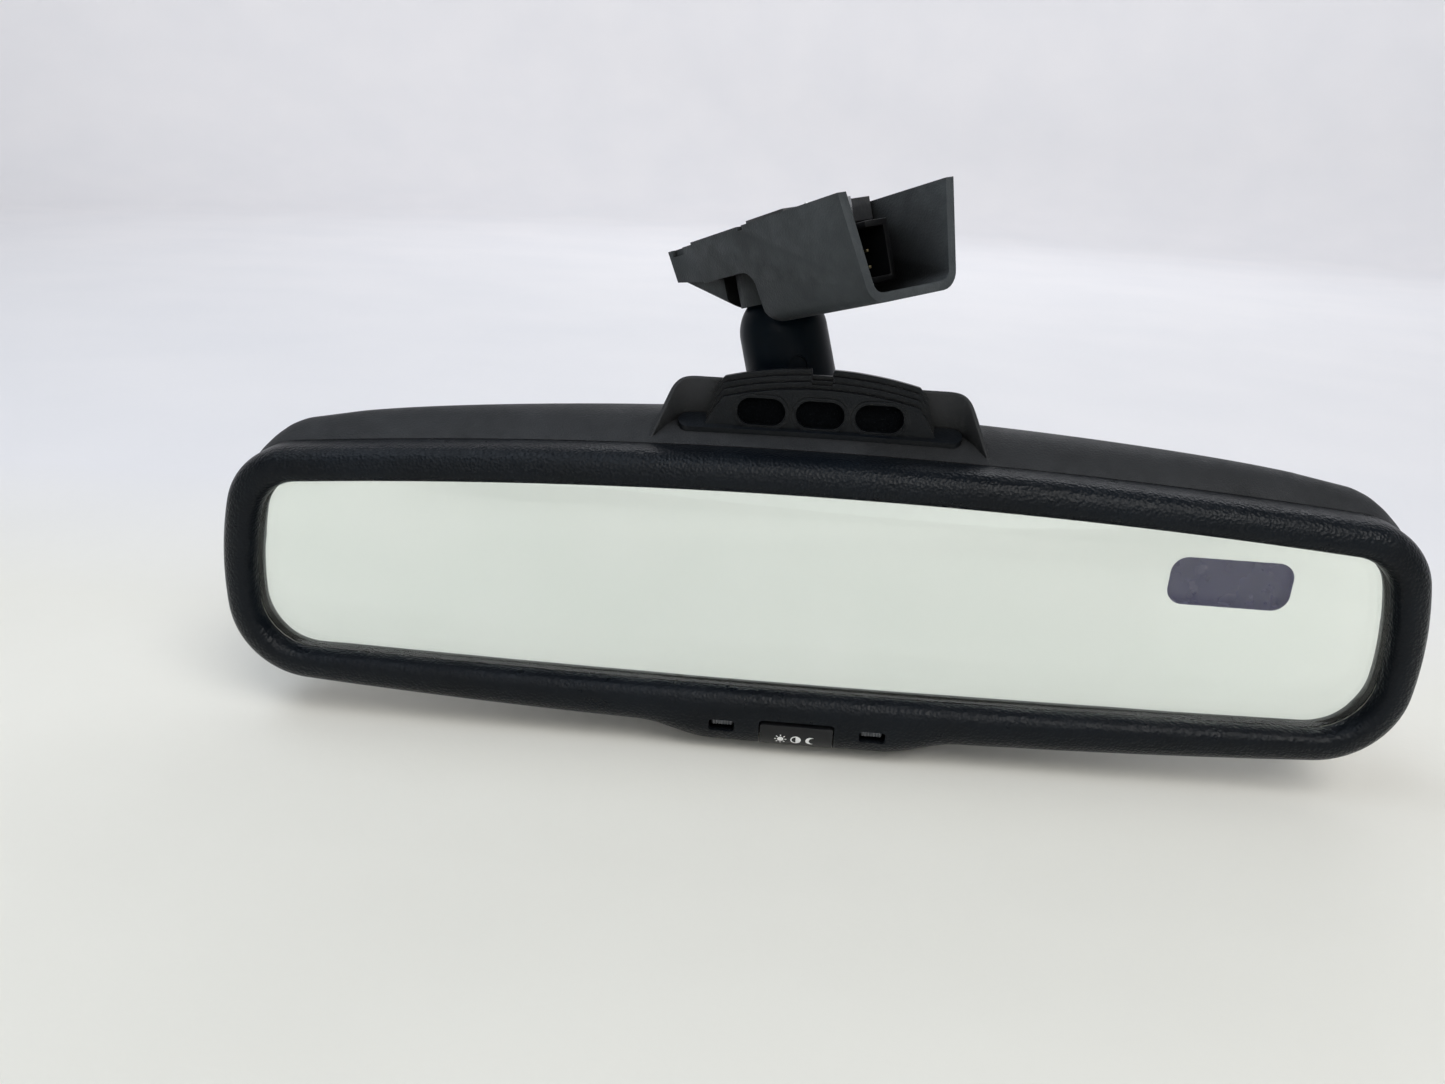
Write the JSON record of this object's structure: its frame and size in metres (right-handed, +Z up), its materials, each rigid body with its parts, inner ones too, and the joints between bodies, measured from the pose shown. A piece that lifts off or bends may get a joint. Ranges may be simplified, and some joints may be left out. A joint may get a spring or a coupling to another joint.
{
  "type": "interior rearview mirror",
  "caption": "Auto-dimming interior rearview mirror with display window, push button and microphone, on a double-ball arm with a windshield mount.",
  "frame": {"origin": "middle of the windshield button seat in the mount, on the axis of the upper ball stud", "axes": "+X along the head's width, to the right as the driver sees it; -Y out of the mirror glass towards the driver; +Z up"},
  "size_m": [0.2658, 0.0724, 0.1268],
  "materials": {
    "frame_plastic": "satin black moulded plastic with a fine leather-like grain",
    "shell_plastic": "matte charcoal moulded plastic, fine spark-eroded grain",
    "shroud_plastic": "matte dark grey moulded plastic, fine grain",
    "sleeve_plastic": "smooth satin black plastic",
    "cover_plastic": "satin black plastic with a fine grain",
    "button_plastic": "smooth satin black keycap with a white pictogram",
    "clear_glass": "polished glass with a faint green tint",
    "mirror_coating": "silvered rear glass plate",
    "seal_resin": "cured edge resin",
    "spring_contact": "tinned copper strip",
    "foam": "open-cell foam",
    "carrier_plastic": "black moulded plastic",
    "display_filter": "dark blue-grey filter",
    "display_body": "black display housing",
    "board": "green solder mask",
    "chips": "black epoxy packages",
    "connector_white": "natural nylon",
    "zinc_steel": "zinc plated steel",
    "lens_plastic": "smoky clear polycarbonate with fine ribs",
    "led_body": "white light-emitting diode package",
    "sensor_black": "black sensor package",
    "mic_can": "aluminium microphone can",
    "stud_steel": "phosphated and oiled steel",
    "tube_steel": "drawn steel tube",
    "spring_steel": "spring wire",
    "acetal": "natural acetal",
    "bracket_zinc": "black coated zinc die-casting",
    "connector_black": "black nylon connector housing",
    "pin_metal": "tin-brass terminals",
    "lead_sheath": "black sheathed lead"
  },
  "bodies": {
    "mount": {"mount_shroud": "shroud_plastic", "mount_bracket": "bracket_zinc", "upper_ball_stud": "stud_steel", "set_screw": "zinc_steel", "retaining_clip": "zinc_steel", "connector_housing": "connector_black", "connector_pins": "pin_metal", "mount_harness": "lead_sheath"},
    "upper_washer": {"upper_friction_washer": "acetal"},
    "upper_cup": {"upper_ball_cup": "acetal"},
    "arm": {"arm_sleeve": "sleeve_plastic", "arm_tube": "tube_steel", "arm_spring": "spring_steel", "arm_harness": "lead_sheath", "upper_spring_seat": "zinc_steel", "lower_spring_seat": "zinc_steel"},
    "lower_cup": {"lower_ball_cup": "acetal"},
    "lower_washer": {"lower_friction_washer": "acetal"},
    "head": {"front_bezel": "frame_plastic", "rear_shell": "shell_plastic", "front_glass": "clear_glass", "rear_glass": "mirror_coating", "cell_seal": "seal_resin", "cell_bus_clips": "spring_contact", "glass_pad": "foam", "glass_carrier": "carrier_plastic", "display_window": "display_filter", "display_module": "display_body", "circuit_board": "board", "board_components": "chips", "board_connector": "connector_white", "board_screws": "zinc_steel", "button_board": "board", "button_switch": "chips", "status_led": "led_body", "status_lens": "lens_plastic", "glare_sensor": "sensor_black", "glare_sensor_lens": "lens_plastic", "ambient_sensor": "sensor_black", "ambient_sensor_lens": "lens_plastic", "microphone_cover": "cover_plastic", "microphone_foam": "foam", "microphone_capsules": "mic_can", "microphone_board": "board", "pivot_plate": "stud_steel", "pivot_screws": "zinc_steel", "lower_ball_stud": "stud_steel", "stud_nut": "zinc_steel", "head_harness": "lead_sheath"},
    "button": {"auto_button": "button_plastic"}
  },
  "joints": [
    {"name": "mount_swivel", "type": "hinge", "parent": "mount", "child": "upper_washer", "pos_m": [0.00547, -0.00282, -0.02091], "axis": [-0.2511, 0.1295, 0.9593], "range_deg": [-12, 89]},
    {"name": "arm_tilt_fore", "type": "hinge", "parent": "upper_washer", "child": "upper_cup", "pos_m": [0.00547, -0.00282, -0.02091], "axis": [0.7775, 0.6173, 0.1202], "range_deg": [-9, 9]},
    {"name": "arm_tilt_side", "type": "hinge", "parent": "upper_cup", "child": "arm", "pos_m": [0.00547, -0.00282, -0.02091], "axis": [-0.5766, 0.776, -0.2557], "range_deg": [-9, 9]},
    {"name": "head_swivel", "type": "hinge", "parent": "arm", "child": "lower_cup", "pos_m": [0.01443, -0.00744, -0.05512], "axis": [-0.2511, 0.1295, 0.9593], "range_deg": [-20, 20]},
    {"name": "head_pitch", "type": "hinge", "parent": "lower_cup", "child": "lower_washer", "pos_m": [0.01443, -0.00744, -0.05512], "axis": [1, 0, 0], "range_deg": [-8, 8]},
    {"name": "head_roll", "type": "hinge", "parent": "lower_washer", "child": "head", "pos_m": [0.01443, -0.00744, -0.05512], "axis": [0, 1, 0], "range_deg": [-26, 2]},
    {"name": "button_press", "type": "slide", "parent": "head", "child": "button", "axis": [0, 1, 0], "range_m": [0, 0.001], "stiffness_N_per_m": 1000}
  ]
}
